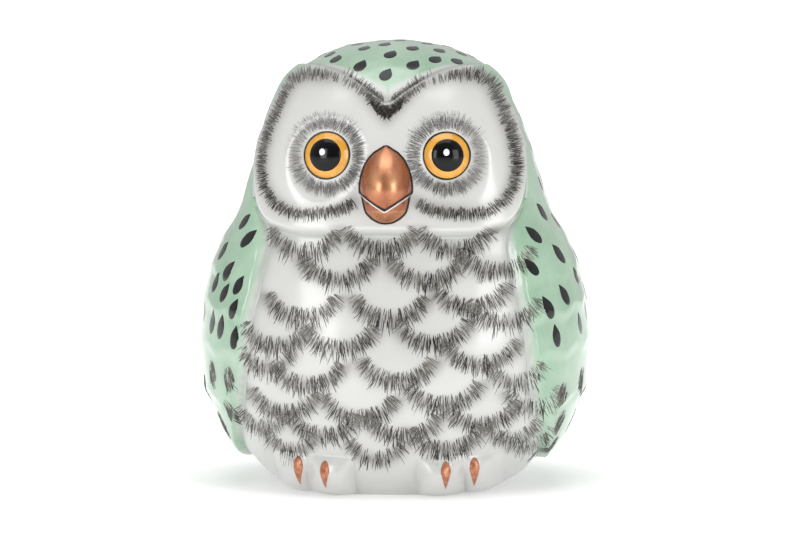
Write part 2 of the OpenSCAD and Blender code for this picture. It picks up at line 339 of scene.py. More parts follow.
height = MANTLE_T * ramp(in_mantle / np.where(BASE_Y < 0, 6.0, MANTLE_STEP))
height += 0.22 * lumps(BASE) * ramp(in_mantle / 8)
for side in (1, -1):
    wing = WING_T + feather_rows(BASE) - 0.4
    wing = wing - (wing - MANTLE_T) * ramp((BASE_Z - 90) / 14)
    blend = 2.0 - 1.8 * ramp((BASE_Z - 88) / 12)
    height = soft_max(height, wing * ramp(in_wing[side] / WING_STEP + 1), blend)
quills = 0.7 * np.exp(-((np.abs(BASE_X) - 4.8) / 1.0) ** 2) * ramp((40 - BASE_Z) / 8)
height = soft_max(height, (TAIL_T - quills) * ramp(in_tail / TAIL_STEP + 1), 0.8)
height = soft_max(height, FACE_T * ramp(in_face / FACE_STEP + 1), 1.0)
for side in (1, -1):
    height = np.where(height > 0.5, soft_min(height, dish_height(side), 0.9), height)
    height -= 1.5 * ramp((EYE_R - 0.3 - from_eye(BASE + height[..., None] * OUT, side)) / 0.8)
height = np.maximum(height, np.where(in_face > 0, 0.3, 0))
BROW_CORNER = np.array([39.5, -14, 157])
for side in (1, -1):
    gap = np.linalg.norm(BASE + height[..., None] * OUT - BROW_CORNER * [side, 1, 1], axis=-1)
    height += 0.6 * np.exp(-(gap / 6.5) ** 2)
height -= 0.7 * np.exp(-np.maximum(-in_slot(BASE), 0) / 0.8) * (in_slot(BASE) > -6)
push = foot_push(BASE)
SKIN = BASE + height[..., None] * OUT
SKIN[..., 1] -= push
SKIN[..., 2] = np.where(push > 0, np.maximum(SKIN[..., 2], FOOT_LIFT * ramp(push / 2)), SKIN[..., 2])


def grid_normals(points):
    """Normals of a lattice that closes round the figure."""
    across = np.roll(points, -1, 1) - np.roll(points, 1, 1)
    up = np.gradient(points, axis=0)
    return unit(np.cross(across, up))


SKIN_OUT = grid_normals(SKIN)

# Painted shade: the glaze is made darker where the surface is lower than what is round it. This is partly
# glaze that pools in hollows and partly shade in the recesses.
around = height
for _ in range(14):
    rows_above = np.vstack([around[1:], around[-1:]])
    rows_below = np.vstack([around[:1], around[:-1]])
    around = (np.roll(around, 1, 1) + np.roll(around, -1, 1) + rows_above + rows_below) / 4
pool_and_shade = np.clip((around - height) / 0.5, 0, 1)

# ---- which part of the surface each section is -------------------------------
hole = -in_slot(BASE)
region = {"face_disc": in_face + FACE_STEP}
for name, side in (("left_wing", 1), ("right_wing", -1)):
    region[name] = np.minimum(in_wing[side] + WING_STEP, -region["face_disc"])
region["tail"] = in_tail + TAIL_STEP
covered = np.maximum.reduce(list(region.values()))
region["mantle"] = np.minimum(np.minimum(in_mantle, -covered), hole)
region["hood"] = np.minimum(region["mantle"], BASE_Z - NECK_Z)
region["back_mantle"] = np.minimum(region["mantle"], NECK_Z - BASE_Z)
for name, side in (("left_foot", 1), ("right_foot", -1)):
    region[name] = np.minimum.reduce([side * BASE_X - 11.6, 43.4 - np.abs(BASE_X), 16.3 - BASE_Z,
                                      -20 - BASE_Y])
covered = np.maximum.reduce(list(region.values()))
under = np.minimum(BASE_Z - 1.0, covered)


# ---- where the painted feathers run ------------------------------------------
# Feather tips on the belly: middles of the tips' lower edges, [x, z].
SCALLOPS = [
    (-31, 95), (-2, 96), (26, 96), (-18, 85), (15, 85), (41, 88), (-31, 71), (2, 71), (32, 75),
    (-41, 60), (-17, 60), (18, 62), (44, 69), (-45, 51), (-29, 46), (5, 48), (36, 54), (49, 46),
    (-38, 35), (-9, 34), (22, 39), (55, 36), (-47, 28), (-23, 27), (7, 27), (36, 31), (-3, 18),
    (23, 22), (47, 24), (53, 20), (-36, 20),
]
TIP_W, TIP_H = 10.8, 8.0                 # half width and depth of a feather tip's curve
SMALL_W, SMALL_H = 7.5, 7.0              # and of the ones at the edges


def tip_size(x, z):
    return (SMALL_W, SMALL_H) if abs(x) > 44 or z < 21 else (TIP_W, TIP_H)


# Grey feathers round the face: the middle line of the fringe on the +X half, [x, z], from the notch
# over the brow outwards, down the cheek and in to the beak.
FRINGE = [
    [0, 142.5], [4.5, 147], [8.5, 151.3], [14, 154.6], [21, 156.6], [27, 157.2], [31, 157.1],
    [35, 155.9], [37.9, 153.4], [39.6, 150], [41.6, 145.5], [43.6, 141], [45.6, 135.8], [47.2, 129],
    [47.6, 122.5], [46.8, 117.5], [44.4, 112.7], [41, 109.6], [37, 107.4], [32, 106.7], [26, 107.2],
    [20, 108], [15, 109.5], [12, 111],
]

# Hatched patches low on the wings: turn from the front in degrees and height.
HATCHED = {1: [(77, 42), (63, 38), (68, 27), (72, 16), (90, 36), (86, 25), (99, 31), (103, 21)],
           -1: [(66, 45), (55, 44), (58, 31), (78, 38), (70, 25), (90, 33), (84, 22), (100, 25)]}

# A soft grey wash lies under the strokes.
x_, z_ = SKIN[..., 0], SKIN[..., 2]
wash = 0.60 * np.exp(-(line_distance(np.abs(x_), z_, FRINGE) / 3.0) ** 2)
for side in (1, -1):
    wash = np.maximum(wash, 0.50 * np.exp(-((from_eye(SKIN, side) - 12.6) / 2.4) ** 2))
for cx, cz in SCALLOPS:
    wide, tall = tip_size(cx, cz)
    down = cz + tall - z_
    ring = np.hypot((x_ - cx) * tall / wide, down) - tall
    wash = np.maximum(wash, 0.68 * np.exp(-((ring - 3.2) / 2.6) ** 2) * ramp(down / 4 - 0.1))
wash *= (SKIN[..., 1] < -8) & (region["mantle"] <= 0)
wing_wash = 0 * wash
for side, patches in HATCHED.items():
    for turn_, z in patches:
        middle = body_point(np.array([u_at(z)]), np.array([side * math.radians(turn_)]))
        wing_wash = np.maximum(wing_wash, 0.6 * np.exp(-(np.linalg.norm(BASE - middle, axis=-1) / 3.6) ** 2))

# ---- meshes ------------------------------------------------------------------
class Cut:
    """The part of the lattice where a field is positive, with its edge cut exactly at 0."""

    def __init__(self, field, step=1, first_row=0):
        known, ends, self.faces = {}, [], []
        cols = list(range(0, COLS, step))
        rows = list(range(first_row, ROWS, step))

        def vertex(a, b=None):
            key = (a, a) if b is None else (min(a, b), max(a, b))
            if key not in known:
                known[key] = len(ends)
                a, b = key
                ends.append((*a, *b, 0.0 if a == b else field[a] / (field[a] - field[b])))
            return known[key]

        for j, above in zip(rows, rows[1:]):
            for i, k in zip(cols, cols[1:] + cols[:1]):
                ring = [(j, i), (j, k), (above, k), (above, i)]
                kept = [field[c] > 0 for c in ring]
                if not any(kept):
                    continue
                face = []
                for m in range(4):
                    n = (m + 1) % 4
                    if kept[m]:
                        face.append(vertex(ring[m]))
                    if kept[m] != kept[n]:
                        face.append(vertex(ring[m], ring[n]))
                self.faces.append(face)
        if (field[rows[-1]] > 0).all():
            self.faces.append([vertex((rows[-1], i)) for i in cols])
        ends = np.array(ends)
        self.index, self.share = ends[:, :4].astype(int), ends[:, 4:]

    def pick(self, values):
        """A lattice of values at this cut's vertices."""
        a = values[self.index[:, 0], self.index[:, 1]]
        b = values[self.index[:, 2], self.index[:, 3]]
        return a + (b - a) * (self.share if values.ndim == 3 else self.share[:, 0])

    def rim(self):
        """Directed edges that only one face has."""
        edges = {(a, b) for face in self.faces for a, b in zip(face, face[1:] + face[:1])}
        return [(a, b) for a, b in edges if (b, a) not in edges]


def add_mesh(name, verts, faces, normals=None, sheets=None, fields=None, sharp=None):
    """A smooth-shaded object from millimetres. With normals, the first `sheets` faces take them."""
    mesh = bpy.data.meshes.new(name)
    mesh.from_pydata(((np.asarray(verts) + [0, MIDDLE_Y, 0]) * MM).tolist(), [], faces)
    mesh.polygons.foreach_set("use_smooth", np.ones(len(mesh.polygons), bool))
    for key, values in (fields or {}).items():
        attribute = mesh.attributes.new(key, "FLOAT", "POINT")
        attribute.data.foreach_set("value", np.asarray(values, np.float32))
    mesh.update()
    if normals is not None:
        corner = np.zeros(len(mesh.loops), int)
        mesh.loops.foreach_get("vertex_index", corner)
        per_corner = np.asarray(normals)[corner]
        for polygon in list(mesh.polygons)[sheets:]:
            per_corner[polygon.loop_start:polygon.loop_start + polygon.loop_total] = polygon.normal
        mesh.normals_split_custom_set(per_corner.tolist())
    elif sharp:
        mesh.set_sharp_from_angle(angle=math.radians(sharp))
    obj = bpy.data.objects.new(name, mesh)
    bpy.context.scene.collection.objects.link(obj)
    return obj


def place(obj, material, slot, *nodes, body="bank"):
    """Gives a piece its material and its CAD body, and hides the CAD nodes that it stands for. The slot is
    not used.
    """
    obj.data.materials.append(material)
    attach(obj, body)
    if nodes:
        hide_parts(*nodes)


def patch(name, field, fields):
    """A relief section: the skin where the field is positive, closed against the plain body."""
    cut = Cut(field)
    outer, inner = cut.pick(SKIN), cut.pick(BASE - 0.25 * OUT)
    n = len(outer)
    faces = cut.faces + [[n + v for v in reversed(face)] for face in cut.faces]
    sheets = len(faces)
    faces = faces + [[b, a, n + a, n + b] for a, b in cut.rim()]
    # Each piece carries the painted shade of its hollows along with its colour fields.
    values = {key: np.tile(cut.pick(lattice), 2) for key, lattice in {"pool_and_shade": pool_and_shade, **fields}.items()}
    normals = np.vstack([unit(cut.pick(SKIN_OUT)), -unit(cut.pick(OUT))])
    return add_mesh(name, np.vstack([outer, inner]), faces, normals, sheets, values)


def ordered(edges):
    """Directed edges joined up into closed loops."""
    after = dict(edges)
    loops = []
    while after:
        start = here = next(iter(after))
        loop = []
        while here in after:
            loop.append(here)
            here = after.pop(here)
        loops.append(loop)
    return loops


def tube_faces(count, sides, closed=False):
    """Faces of a tube of rings of vertices, with flat ends unless it closes on itself."""
    faces = []
    for k in range(count if closed else count - 1):
        low, high = k * sides, (k + 1) % count * sides
        for m in range(sides):
            n = (m + 1) % sides
            faces.append([low + n, low + m, high + m, high + n])
    if not closed:
        faces += [list(range(sides)), list(range((count - 1) * sides, count * sides))[::-1]]
    return faces


def circle(count):
    """Evenly spaced angles once round."""
    return np.arange(count) * 2 * math.pi / count


def lathe(profile, turns=72, close=True):
    """Vertices and faces of a profile [radius, height] turned round the Z axis."""
    verts, faces, rings = [], [], []
    for r, z in profile:
        if r < 1e-6:
            rings.append([len(verts)])
            verts.append((0, 0, z))
        else:
            rings.append(list(range(len(verts), len(verts) + turns)))
            verts += [(r * math.cos(a), r * math.sin(a), z) for a in circle(turns)]
    for low, high in zip(rings, rings[1:] + ([rings[0]] if close else [])):
        for k in range(turns):
            n = (k + 1) % turns
            ring = [low[k % len(low)], low[n % len(low)], high[n % len(high)], high[k % len(high)]]
            face = [v for m, v in enumerate(ring) if v not in ring[:m]]
            if len(face) > 2:
                faces.append(face)
    return np.array(verts, float), faces


# ---- materials ---------------------------------------------------------------
def srgb(r, g, b):
    """Linear colour from 0-255 display values."""
    def one(v):
        v /= 255
        return v / 12.92 if v <= 0.04045 else ((v + 0.055) / 1.055) ** 2.4
    return (one(r), one(g), one(b), 1.0)


class Shader:
    """A material whose nodes are made and joined in one call each."""

    def __init__(self, name):
        self.material = bpy.data.materials.new(name)
        self.material.use_nodes = True
        self.tree = self.material.node_tree
        self.main = self.tree.nodes["Principled BSDF"]

    def node(self, kind, inputs=(), **settings):
        made = self.tree.nodes.new("ShaderNode" + kind)
        for key, value in settings.items():
            setattr(made, key, value)
        for key, value in dict(inputs).items():
            self.put(made.inputs[key], value)
        return made

    def put(self, socket, value):
        if isinstance(value, bpy.types.NodeSocket):
            self.tree.links.new(value, socket)
        else:
            socket.default_value = value

    def set(self, **values):
        for key, value in values.items():
            self.put(self.main.inputs[key.replace("_", " ")], value)

    def noise(self, scale, detail=2.0, rough=0.5, stretch=None):
        """Noise over the object's own place, with a scale per metre."""
        place_at = self.node("TexCoord").outputs["Object"]
        if stretch:
            place_at = self.node("Mapping", {"Vector": place_at, "Scale": stretch}).outputs[0]
        return self.node("TexNoise", {"Vector": place_at, "Scale": scale, "Detail": detail,
                                      "Roughness": rough}).outputs["Fac"]

    def field(self, name):
        return self.node("Attribute", attribute_name=name, attribute_type="GEOMETRY").outputs["Fac"]

    def remap(self, value, low, high, to_low=0.0, to_high=1.0):
        return self.node("MapRange", {"Value": value, "From Min": low, "From Max": high,
                                      "To Min": to_low, "To Max": to_high}).outputs[0]

    def math(self, operation, a, b):
        return self.node("Math", {0: a, 1: b}, operation=operation).outputs[0]

    def mix(self, factor, a, b, blend="MIX"):
        made = self.node("Mix", data_type="RGBA", blend_type=blend)
        for socket, value in ((0, factor), (6, a), (7, b)):
            self.put(made.inputs[socket], value)
        return made.outputs[2]

    def bump(self, value, distance, strength):
        return self.node("Bump", {"Height": value, "Distance": distance,
                                  "Strength": strength}).outputs[0]


def glaze(name, base, green=False):
    """Pearly glaze: a soft satin sheen under a thin clear coat, with faint cloudiness."""
    s = Shader(name)
    cloud = s.remap(s.noise(55, 3.0), 0.35, 0.65)
    fine = s.remap(s.noise(420, 2.0), 0.3, 0.7)
    colour = s.mix(cloud, base, tuple(v * 0.955 for v in base[:3]) + (1.0,))
    if green:
        wash = s.remap(s.noise(38, 4.0, 0.6), 0.34, 0.66)
        tint = s.mix(wash, srgb(134, 172, 142), srgb(162, 194, 167))
        patchy = s.remap(s.noise(120, 2.0), 0.3, 0.7, 0.86, 1.0)
        colour = s.mix(s.math("MULTIPLY", s.field("green"), patchy), colour, tint)
    # Painted shade: darker where the surface lies lower than round it, more so on the green glaze.
    recess_shade = s.math("MULTIPLY", s.field("pool_and_shade"), 0.8 if green else 0.55)
    colour = s.mix(recess_shade, colour, (0.70, 0.74, 0.70, 1), "MULTIPLY")
    colour = s.mix(s.field("grey"), colour, srgb(98, 95, 90))
    ripple = s.bump(s.noise(150, 1.0), 0.00012, 0.5)
    s.set(Base_Color=colour, Roughness=s.remap(fine, 0, 1, 0.30, 0.36), Specular_IOR_Level=0.7,
          Coat_Weight=0.8, Coat_Roughness=0.13, Coat_IOR=1.5, Sheen_Weight=0.0, Normal=ripple)
    return s.material


def ink(name, dark, light):
    """Painted strokes under the glaze, from dark to nearly washed out by their tone."""
    s = Shader(name)
    uneven = s.remap(s.noise(900, 2.0), 0.3, 0.7, -0.12, 0.12)
    tone = s.node("Clamp", {"Value": s.math("ADD", s.field("tone"), uneven)}).outputs[0]
    s.set(Base_Color=s.mix(tone, dark, light), Roughness=0.3, Specular_IOR_Level=0.25, Coat_Weight=0.25,
          Coat_Roughness=0.09)
    return s.material


WHITE = srgb(206, 206, 203)
glaze_white = glaze("glaze_white", WHITE)
glaze_green = glaze("glaze_green", WHITE, green=True)
glaze_face = glaze("glaze_face", WHITE, green=True)



def mottled(name, noise, low, high, dark, light, **settings):
    """A coat whose colour wanders between two with a noise, given by its scale and detail."""
    s = Shader(name)
    s.set(Base_Color=s.mix(s.remap(s.noise(*noise), low, high), dark, light), **settings)
    return s


glaze_black = mottled("glaze_black", (260, 3.0), 0.35, 0.7, srgb(9, 10, 11), srgb(26, 27, 28), Roughness=0.22,
                      Specular_IOR_Level=0.25, Coat_Weight=0.35, Coat_Roughness=0.06).material
brush_ink = ink("glaze_stroke", srgb(22, 18, 14), srgb(154, 150, 142))
eye_ink = ink("glaze_wash", srgb(40, 39, 38), srgb(164, 163, 160))

s = Shader("glaze_pupil")
s.set(Base_Color=srgb(5, 6, 8), Roughness=0.14, Specular_IOR_Level=0.22, Coat_Weight=0.12,
      Coat_Roughness=0.04)
glaze_pupil = s.material

# A near-white glaze for the painted highlights: the dots on the pupils and the shine under the lip line.
s = Shader("glaze_highlight")
s.set(Base_Color=srgb(228, 228, 230), Roughness=0.2, Coat_Weight=0.6, Coat_Roughness=0.05)
glaze_highlight = s.material

glaze_amber = mottled("glaze_amber", (300, 3.0), 0.3, 0.7, srgb(212, 144, 28), srgb(230, 168, 54),
                      Roughness=0.28, Coat_Weight=0.8, Coat_Roughness=0.06).material

s = Shader("lustre_copper")
brushed = s.remap(s.noise(240, 3.0, 0.6, (1.0, 1.0, 0.45)), 0.3, 0.7)
copper = s.mix(brushed, srgb(148, 84, 54), srgb(178, 108, 72))
# Painted highlight: the beak's own field lightens the copper where its lustre would catch the light.
copper = s.mix(s.field("beak_highlight"), copper, srgb(232, 172, 124))
s.set(Base_Color=copper, Metallic=0.6, Roughness=s.remap(s.noise(500), 0.3, 0.7, 0.26, 0.34),
      Coat_Weight=0.3, Coat_Roughness=0.12)
lustre_copper = s.material
claw_copper = mottled("claw_copper", (700, 3.0, 0.6), 0.35, 0.7, srgb(158, 92, 60), srgb(204, 140, 104),
                      Metallic=0.4, Roughness=0.34, Coat_Weight=0.4, Coat_Roughness=0.1).material

s = mottled("stopper_rubber", (900, 4.0, 0.6), 0.4, 0.75, srgb(222, 220, 212), srgb(206, 204, 196),
            Roughness=0.55)
s.set(Normal=s.bump(s.noise(2500, 2.0), 0.00008, 0.6))
stopper_rubber = s.material

# ---- the ceramic's pieces ----------------------------------------------------
# Green glaze covers the crown, the back and the wings, and fades out towards the brow and along
# the wings' front edges. It also closes round the sides of the face disc.
from_face = -region["face_disc"]
# Over the notch the green starts further off and fades more slowly. This whiter patch is partly the glaze's
# own fade and partly a painted highlight.
notch_highlight = np.exp(-(BASE_X / 9) ** 2)
at_brow = ramp((-BASE_Y - 20) / 8)
brow_fade = 1 - (1 - ramp((from_face - 0.2 - 0.8 * notch_highlight) / (1.6 + 2.4 * notch_highlight))) * at_brow
low_fade = np.where(BASE_Z < 60, ramp((BASE_Z - BACK_LOW_Z + 0.5) / 3), 1)
at_side = ramp((150 - BASE_Z) / 8) * ramp((BASE_Z - NECK_Z) / 6)
green = {"face_disc": np.maximum(ramp((-in_face - 0.9) / 1.6) * at_side, ramp((BASE_Y + 25) / 5)),
         "hood": brow_fade * low_fade, "back_mantle": brow_fade * low_fade, "tail": 1 + 0 * in_tail}
at_front = ramp((-BASE_Y - 26) / 8) * ramp((106 - BASE_Z) / 5)
for name, side in (("left_wing", 1), ("right_wing", -1)):
    green[name] = 1 - (1 - ramp((in_wing[side] + 3.0) / 3)) * at_front
grey = {"face_disc": wash, "left_wing": wing_wash, "right_wing": wing_wash}
for node in ("face_disc", "left_wing", "right_wing", "tail", "hood", "back_mantle", "left_foot",
             "right_foot"):
    on_face = node == "face_disc"
    fields = {"grey": grey.get(node, 0 * wash), **({"green": green[node]} if node in green else {})}
    coat = glaze_face if on_face else glaze_green if node in green else glaze_white
    slot_ = "glaze_green" if coat is glaze_green else "glaze_white"
    place(patch("face_piece" if on_face else node + "_piece", region[node], fields), coat, slot_, node)

# The hollow body: outer skin, coin slot, cavity, base hole with its recess, and foot ring.
STEP = 2
WALL = 4.0
BORE_R, RECESS_R, RECESS_H, FLOOR_Z = 17.0, 31.0, 4.5, 9.5
cols = list(range(0, COLS, STEP))
inner_skin = BASE - WALL * OUT
inner_first = int(np.argmax((inner_skin[..., 2] > FLOOR_Z + 0.5).all(1)))
inner_first += (-inner_first) % STEP
inner_hole = -in_slot(inner_skin)
outer_cut, inner_cut = Cut(hole, STEP), Cut(inner_hole, STEP, inner_first)
sunk = BASE - 0.3 * ramp(under / 1.5)[..., None] * OUT
outer, inner = outer_cut.pick(sunk), inner_cut.pick(inner_skin)
verts = [*outer, *inner]
faces = outer_cut.faces + [[len(outer) + v for v in reversed(face)] for face in inner_cut.faces]
sheets = len(faces)
normals = [*unit(outer_cut.pick(OUT)), *-unit(inner_cut.pick(OUT))]


def ring_of(cut, row, offset):
    """The cut's vertices that are lattice points of one row, in order round the figure."""
    at = {(a, b): k for k, (a, b, c, d) in enumerate(cut.index) if (a, b) == (c, d)}
    return [offset + at[(row, i)] for i in cols]


low_ring = ring_of(outer_cut, 0, 0)
high_ring = ring_of(inner_cut, inner_first, len(outer))
rings = [low_ring]
floor_edge = [verts[k] * [1, 1, 0] + [0, 0, FLOOR_Z] for k in high_ring]
for spec in ((RECESS_R, 0.0), (RECESS_R, RECESS_H), (BORE_R, RECESS_H), (BORE_R, FLOOR_Z), None):
    if spec is None:
        points = floor_edge
    else:
        r, z = spec
        points = [np.array([r * math.sin(a), -r * math.cos(a) - MIDDLE_Y, z]) for a in col_turn[cols]]
    rings.append(list(range(len(verts), len(verts) + len(points))))
    verts += points
    normals += [np.array([0, 0, -1.0])] * len(points)
rings.append(high_ring)
for a, b in zip(rings, rings[1:]):
    for k in range(len(cols)):
        n = (k + 1) % len(cols)
        faces.append([a[n], a[k], b[k], b[n]])

# the slot's wall joins the outer and the inner edge of its hole
edge_loops = []
for cut, offset, skip in ((outer_cut, 0, set(low_ring)), (inner_cut, len(outer), set(high_ring))):
    loops = ordered([(a + offset, b + offset) for a, b in cut.rim() if a + offset not in skip])
    edge_loops.append(loops[0])


def about_slot(k):
    return math.atan2(verts[k][2] - SLOT_Z, verts[k][0])


first = sorted(edge_loops[0], key=about_slot)
second = sorted(edge_loops[1], key=about_slot)
i = j = 0
while i < len(first) or j < len(second):
    a, b = first[i % len(first)], second[j % len(second)]
    if j >= len(second) or (i < len(first) and about_slot(first[i]) <= about_slot(second[j])):
        faces.append([first[(i + 1) % len(first)], a, b])
        i += 1
    else:
        faces.append([second[(j + 1) % len(second)], a, b])
        j += 1
# The body carries the grey wash and the painted shade of its hollows.
body = add_mesh("body_piece", verts, faces, normals, sheets,
                {key: np.concatenate([outer_cut.pick(values), np.zeros(len(verts) - len(outer))])
                 for key, values in (("grey", wash), ("pool_and_shade", pool_and_shade))})
place(body, glaze_white, "glaze_white", "body_shell")

# ---- paint -------------------------------------------------------------------
skin_index = np.arange(ROWS * COLS).reshape(ROWS, COLS)
quads = np.stack([skin_index[:-1], np.roll(skin_index[:-1], -1, 1), np.roll(skin_index[1:], -1, 1),
                  skin_index[1:]], -1).reshape(-1, 4)
skin_tree = BVHTree.FromPolygons(SKIN.reshape(-1, 3).tolist(), quads.tolist())
flat_out = SKIN_OUT.reshape(-1, 3)


def onto(origin, direction):
    """Where a line meets the visible ceramic, and the surface's normal there."""
    hit, _, face, _ = skin_tree.ray_cast(Vector(origin), Vector(direction))
    if hit is None:
        return None
    return np.array(hit), unit(flat_out[quads[face]].mean(0))


FAR, NEAR = 120, 8                       # how far off the rays set out


def onto_near(point, normal):
    return onto(point + normal * NEAR, -normal)


def onto_front(x, z):
    return onto((x, -FAR, z), (0, 1, 0))


class Paint:
    """Many painted shapes in one mesh, each with its own tone."""

    def __init__(self):
        self.verts, self.faces, self.normals, self.tones = [], [], [], []

    def make(self, name):
        return add_mesh(name, self.verts, self.faces, self.normals, len(self.faces), {"tone": self.tones})


class Strokes(Paint):
    """Thin tapered brush strokes."""

    def add(self, path, width, tone, lift=0.10):
        """One stroke through [(point, normal), ...], widest a third of the way along."""
        count = len(path)
        base = len(self.verts)
        for k, (point, normal) in enumerate(path):
            ahead = path[min(k + 1, count - 1)][0] - path[max(k - 1, 0)][0]
            side = unit(np.cross(ahead, normal))
            t = k / (count - 1)
            half = width / 2 * (0.30 + 0.70 * math.sin(math.pi * min(1.0, t * 0.82 + 0.16)))
            self.verts += [point + side * half - normal * 0.05, point + normal * lift,
                           point - side * half - normal * 0.05, point - normal * 0.25]
            self.normals += [unit(normal + 0.3 * side), normal, unit(normal - 0.3 * side), -normal]
            self.tones += [tone] * 4
        self.faces += [[base + v for v in face] for face in tube_faces(count, 4)]


def front_path(start, direction, length, bend, steps=5):
    """A stroke's path over the front, given in x and z, projected from the front."""
    path = []
    x, z = start
    angle = math.atan2(direction[1], direction[0])
    for k in range(steps):
        found = onto_front(x, z)
        step = length / (steps - 1)
        if found is None or (path and np.linalg.norm(found[0] - path[-1][0]) > 4 * step):
            return None
        path.append(found)
        x += math.cos(angle) * step
        z += math.sin(angle) * step
        angle += bend / (steps - 1)
    return path


belly = {"high": Strokes(), "low": Strokes()}
for n, (cx, cz) in enumerate(SCALLOPS):
    wide, tall = tip_size(cx, cz)
    for _ in range(200 if wide == TIP_W else 110):
        phi = math.radians(78 * rng.uniform(-1, 1))
        out = (rng.random() * 5.4 - 0.8) * (0.4 + 0.6 * math.cos(phi))
        x = cx + (wide + out) * math.sin(phi)
        z = cz + tall - (tall + out) * math.cos(phi)
        aim_at = (0.75 * math.sin(phi) + rng.normal(0, 0.15), -math.cos(phi) - 0.25)
        length = rng.uniform(2.2, 6.0) * (0.7 + 0.3 * math.cos(phi))
        path = front_path((x, z), aim_at, length, rng.normal(0, 0.15), 4)
        if path is None or path[0][1][1] > -0.15:
            continue
        clump = math.sin(phi * 9 + n) * 0.09
        tone = np.clip(rng.normal(0.16, 0.18) + clump + 0.32 * math.sin(phi) ** 2, 0, 0.95)
        belly["high" if cz > 58 else "low"].add(path, rng.uniform(0.32, 0.56), tone)
for part, strokes in belly.items():
    place(strokes.make("belly_strokes_" + part), brush_ink, "glaze_black")


def along(points, spacing):
    """Evenly spaced places on a line through the points, with the outward side to the left."""
    p = np.array(points, float)
    length = np.concatenate([[0], np.cumsum(np.linalg.norm(np.diff(p, axis=0), axis=1))])
    at = np.arange(0, length[-1], spacing)
    place_ = np.stack([np.interp(at, length, p[:, k]) for k in (0, 1)], -1)
    ahead = unit(np.gradient(place_, axis=0))
    for _ in range(3):
        ahead = unit(np.vstack([ahead[:1], (ahead[:-2] + ahead[1:-1] + ahead[2:]) / 3, ahead[-1:]]))
    return place_, np.stack([-ahead[:, 1], ahead[:, 0]], -1), at / length[-1]


FRINGE_SPACING = 0.105
fringe = Strokes()
for side in (1, -1):
    spots, outward, share = along(FRINGE, FRINGE_SPACING)
    for (x, z), (ox, oz), t in zip(spots, outward, share):
        if rng.random() < 0.12:
            continue
        notch = math.exp(-((x / 7) ** 2)) * (z > 130)
        length = rng.uniform(2.4, 4.6) * (0.85 + 0.3 * notch)
        room = 7.0 + 1.2 * ramp((z - 146) / 8) * ramp(x / 12) - length
        start = (rng.random() + rng.random()) / 2 * room - 2.6
        lean = 0.25 if z < 125 else 0.1
        dx, dz = ox + lean * (x - 23) / 25, oz + lean * (z - 128) / 25
        norm = math.hypot(dx, dz)
        dx, dz = dx / norm, dz / norm
        dx, dz = dx + rng.normal(0, 0.10), dz + rng.normal(0, 0.10)
        path = front_path((side * (x + ox * start), z + oz * start), (side * dx, dz), length,
                          rng.normal(0, 0.12))
        if path is None:
            continue
        clump = 0.5 + 0.5 * math.sin(t * 61 + side * 2) * math.sin(t * 37)
        tone = np.clip(rng.normal(0.10, 0.2) + 0.2 * clump - 0.3 * notch, 0, 0.9)
        fringe.add(path, rng.uniform(0.30, 0.52), tone)
# A second row over the notch, and the notch's darkest lines: count, x and z as [at the middle, more
# outwards, spread], lean likewise, longest, width, and tone as [middle, spread, lightest].
NOTCH_ROWS = (
    (95, (1, 13), (148.5 - 1.2, 7.0, 0.7), (0.2, -0.55), 3.2, (0.34, 0.5), (0.42, 0.15, 0.9)),
    (34, (0.3, 5.5), (142.6 - 1.0, 5.2, 0.5), (0.35, 0), 3.4, (0.45, 0.7), (0.05, 0.06, 0.3)),
)
for side in (1, -1):
    for count, in_x, in_z, lean, longest, width, (tone, loose, lightest) in NOTCH_ROWS:
        for _ in range(count):
            t = rng.random()
            x, z = in_x[0] + in_x[1] * t, in_z[0] + in_z[1] * t + rng.normal(0, in_z[2])
            path = front_path((side * x, z), (side * (lean[0] + lean[1] * t), 1),
                              rng.uniform(1.8, longest), 0)
            if path:
                fringe.add(path, rng.uniform(*width), np.clip(rng.normal(tone, loose), 0, lightest))
place(fringe.make("face_fringe"), brush_ink, "glaze_black")

# Soft grey strokes that radiate from the eyes.
eye_strokes = Strokes()
for side in (1, -1):
    for _ in range(1100):
        a = rng.uniform(0, 2 * math.pi)
        inwards = -side * math.cos(a)
        strong = 0.62 + 0.25 * inwards + 0.22 * math.sin(a) ** 2
        if rng.random() > strong + 0.15:
            continue
        reach = 9.5 + rng.random() ** 1.1 * 3.2
        length = rng.uniform(2.0, 4.2) * (1.2 if math.sin(a) > 0.5 else 1)
        spread = a + rng.normal(0, 0.12)
        x, z = side * EYE_X + reach * math.cos(a), EYE_Z + reach * math.sin(a)
        path = front_path((x, z), (math.cos(spread), math.sin(spread)), length, rng.normal(0, 0.1), 4)
        if path:
            tone = np.clip(rng.normal(0.80 - 0.55 * strong, 0.18), 0.05, 1)
            eye_strokes.add(path, rng.uniform(0.26, 0.42), tone, 0.07)
place(eye_strokes.make("eye_strokes"), eye_ink, "glaze_black")


